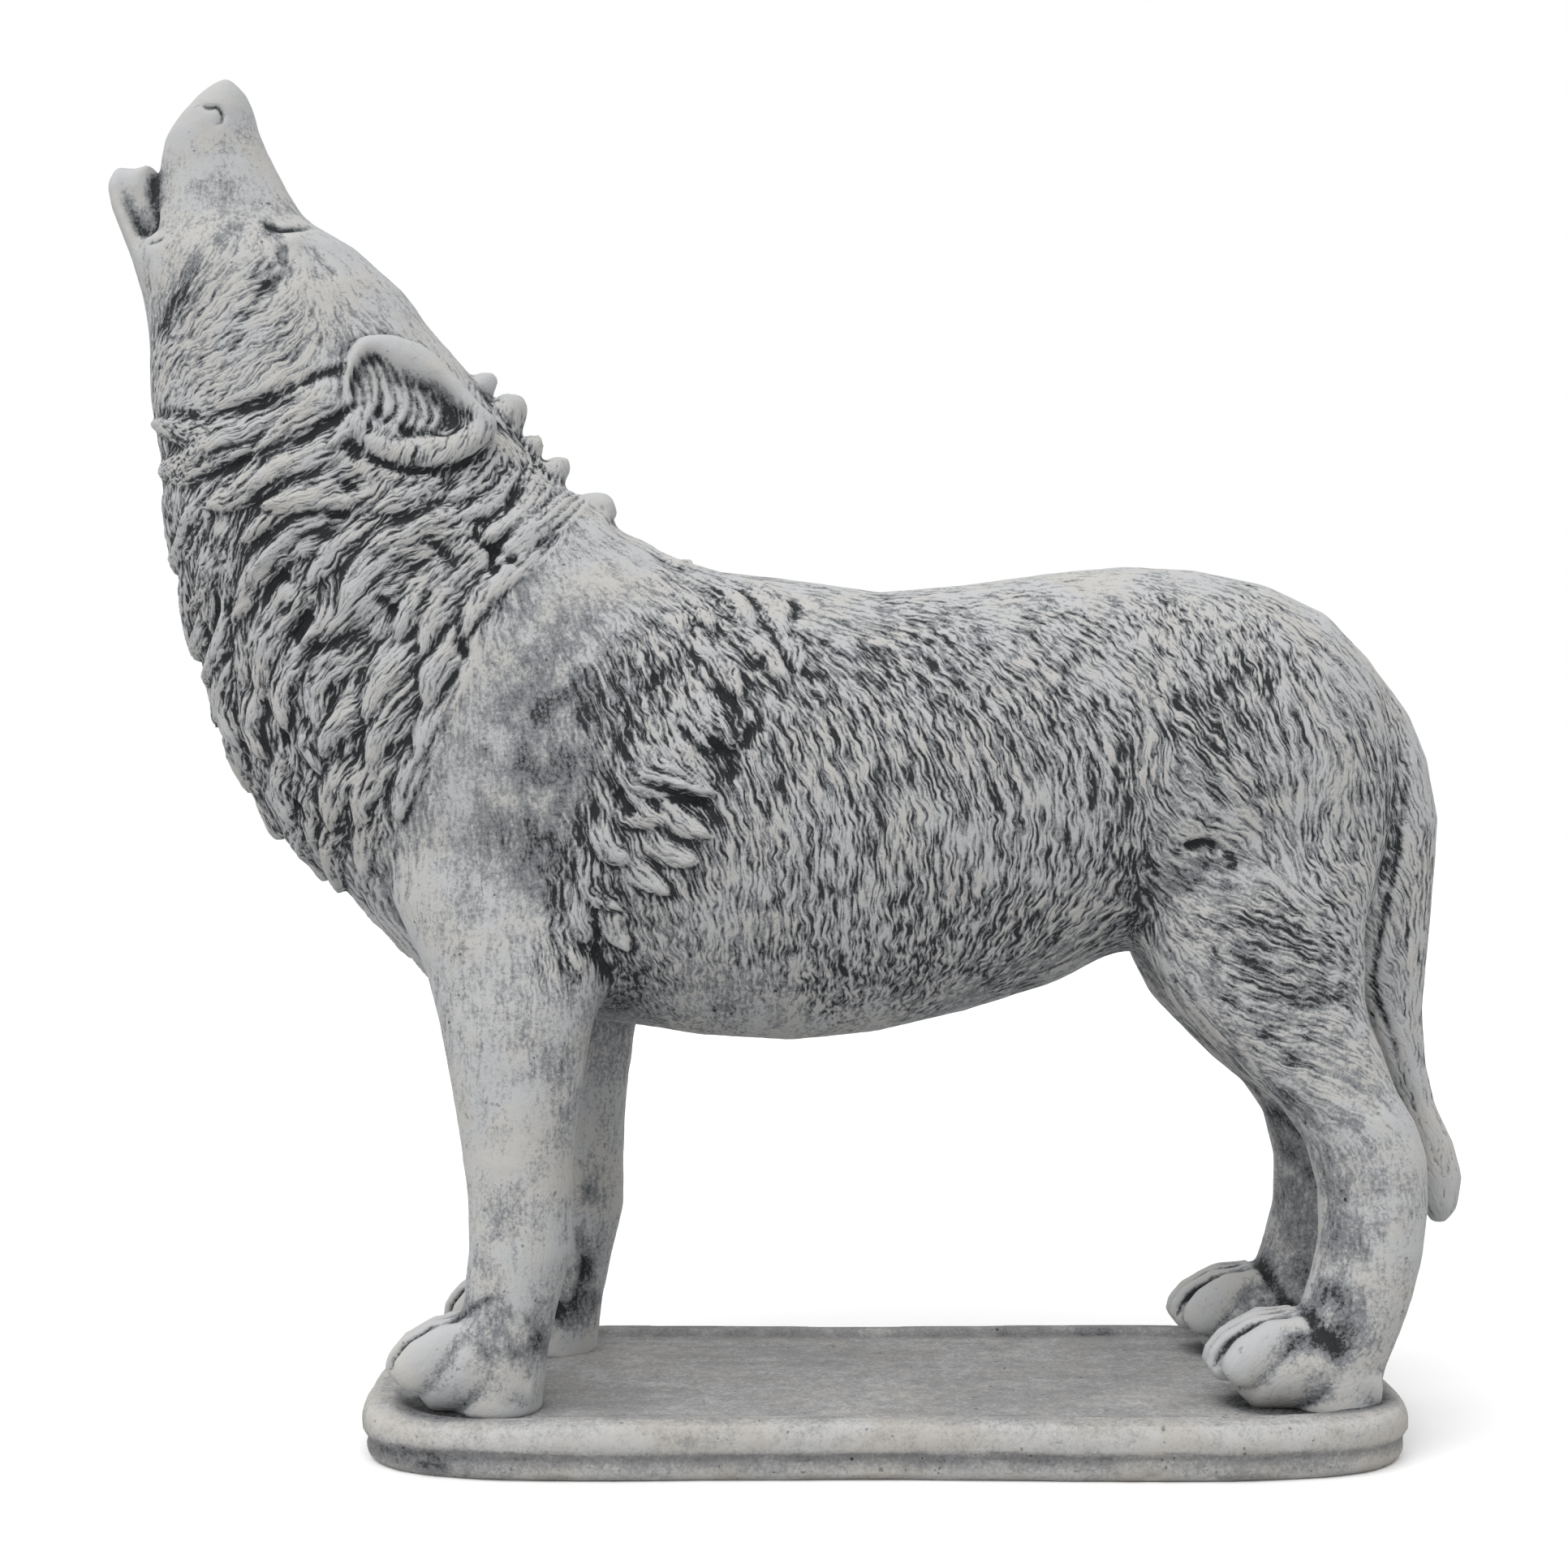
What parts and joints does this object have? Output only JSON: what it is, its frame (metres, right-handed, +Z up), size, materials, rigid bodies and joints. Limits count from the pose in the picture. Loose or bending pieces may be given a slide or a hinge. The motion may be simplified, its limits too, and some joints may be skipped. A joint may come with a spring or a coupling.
{
  "type": "howling wolf garden statue",
  "caption": "Howling wolf in cast stone on its own round-cornered slab: head raised, shaggy mane, hollow between belly, legs and slab.",
  "frame": {"origin": "middle of the slab's flat underside", "axes": "+Z up, the wolf's head towards -X, its right side towards +Y"},
  "size_m": [0.8036, 0.266, 0.7999],
  "materials": {
    "cast_stone": "pale grey cast stone, matt, with a black antique wash left in the fur's grooves"
  },
  "bodies": {
    "root": {"howling_wolf": "cast_stone"}
  },
  "joints": []
}
